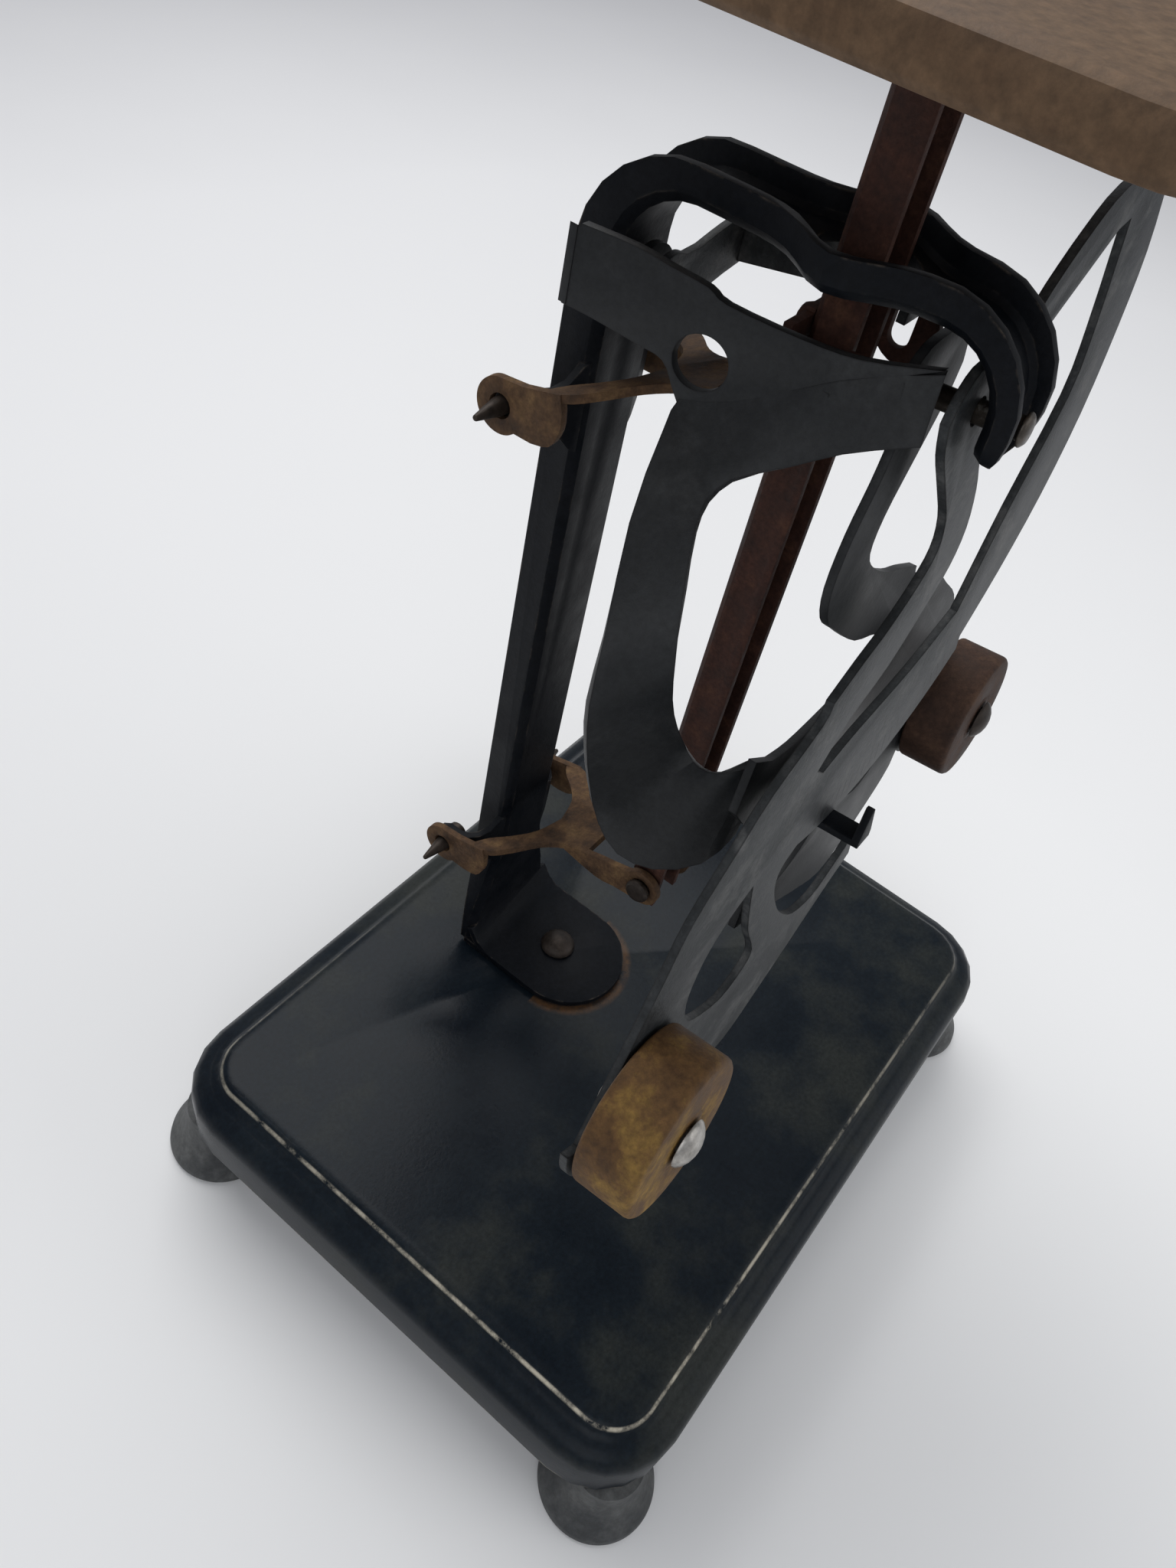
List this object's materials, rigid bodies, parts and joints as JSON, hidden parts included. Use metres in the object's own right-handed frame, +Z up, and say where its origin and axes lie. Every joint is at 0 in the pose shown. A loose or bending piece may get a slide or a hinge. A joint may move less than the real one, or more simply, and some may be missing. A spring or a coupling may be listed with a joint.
{
  "type": "two-pendulum letter balance",
  "caption": "Tabletop letter balance: crossed sheet-metal pendulums with round weights swing as a rod and tray sink between parallel links on a low enamelled base.",
  "frame": {"origin": "on the floor, at the centre of the footprint", "axes": "+Z up, -Y towards the reader of the pointer (front), +X to the reader's right"},
  "size_m": [0.1236, 0.0976, 0.1836],
  "materials": {
    "base_enamel": "glossy black enamel with a blue-green cast, rubbed to bare metal along the raised edge",
    "feet_iron": "dull dark metal",
    "stand_enamel": "black enamel, slightly glossy, worn on the edges",
    "dark_pins": "dark steel",
    "pivot_steel": "worn bright steel",
    "link_rust": "pitted rusty steel, ochre to tan",
    "rod_rust": "even red-brown rust",
    "tray_tan": "dull tan-brown tarnished sheet",
    "pendulum_front": "worn grey steel with dark edges",
    "pendulum_back": "dark blue-grey steel",
    "left_weight_brass": "ochre-brown rust with yellow patches",
    "right_weight_rust": "red-brown rust",
    "rivet_bright": "bare bright metal"
  },
  "bodies": {
    "stand": {"base_shell": "base_enamel", "column_frame": "stand_enamel", "column_rivet": "dark_pins", "front_pivot_pin": "pivot_steel", "rear_pivot_pin": "pivot_steel", "foot_front_left": "feet_iron", "foot_front_right": "feet_iron", "foot_rear_left": "feet_iron", "foot_rear_right": "feet_iron", "cone_pin_upper_left": "dark_pins", "cone_pin_upper_right": "dark_pins", "cone_pin_lower_left": "dark_pins", "cone_pin_lower_right": "dark_pins"},
    "left_pendulum": {"left_pendulum_sheet": "pendulum_front", "left_weight": "left_weight_brass", "left_weight_rivet": "rivet_bright"},
    "right_pendulum": {"right_pendulum_sheet": "pendulum_back", "right_weight": "right_weight_rust", "right_weight_rivet": "dark_pins", "pointer": "stand_enamel"},
    "carrier": {"rod": "rod_rust", "eye_yoke": "rod_rust", "yoke_rivet": "rod_rust", "tray": "tray_tan", "tray_rivet": "tray_tan", "link_pin_upper": "dark_pins", "link_pin_lower": "dark_pins"},
    "upper_link": {"upper_link": "link_rust"},
    "lower_link": {"lower_link": "link_rust"}
  },
  "joints": [
    {"name": "left_pendulum_swing", "type": "hinge", "parent": "stand", "child": "left_pendulum", "pos_m": [0, -0.0126, 0.1446], "axis": [0, 0.995, -0.0995], "range_deg": [0, 20]},
    {"name": "right_pendulum_swing", "type": "hinge", "parent": "stand", "child": "right_pendulum", "pos_m": [0, -0.0126, 0.1446], "axis": [0, 0.995, -0.0995], "range_deg": [-20, 0]},
    {"name": "carrier_drop", "type": "slide", "parent": "stand", "child": "carrier", "axis": [0, 0, -1], "range_m": [0, 0.00171]},
    {"name": "upper_link_swing", "type": "hinge", "parent": "stand", "child": "upper_link", "pos_m": [0, 0.033, 0.1268], "axis": [1, 0, 0], "range_deg": [0, 3.19]},
    {"name": "lower_link_swing", "type": "hinge", "parent": "stand", "child": "lower_link", "pos_m": [0, 0.033, 0.0496], "axis": [1, 0, 0], "range_deg": [0, 3.19]}
  ],
  "couplings": [
    {"joint": "right_pendulum_swing", "follows": "left_pendulum_swing", "ratio": -1},
    {"joint": "carrier_drop", "follows": "left_pendulum_swing", "m_per_rad": 0.00487},
    {"joint": "upper_link_swing", "follows": "left_pendulum_swing", "ratio": 0.159},
    {"joint": "lower_link_swing", "follows": "left_pendulum_swing", "ratio": 0.159}
  ]
}
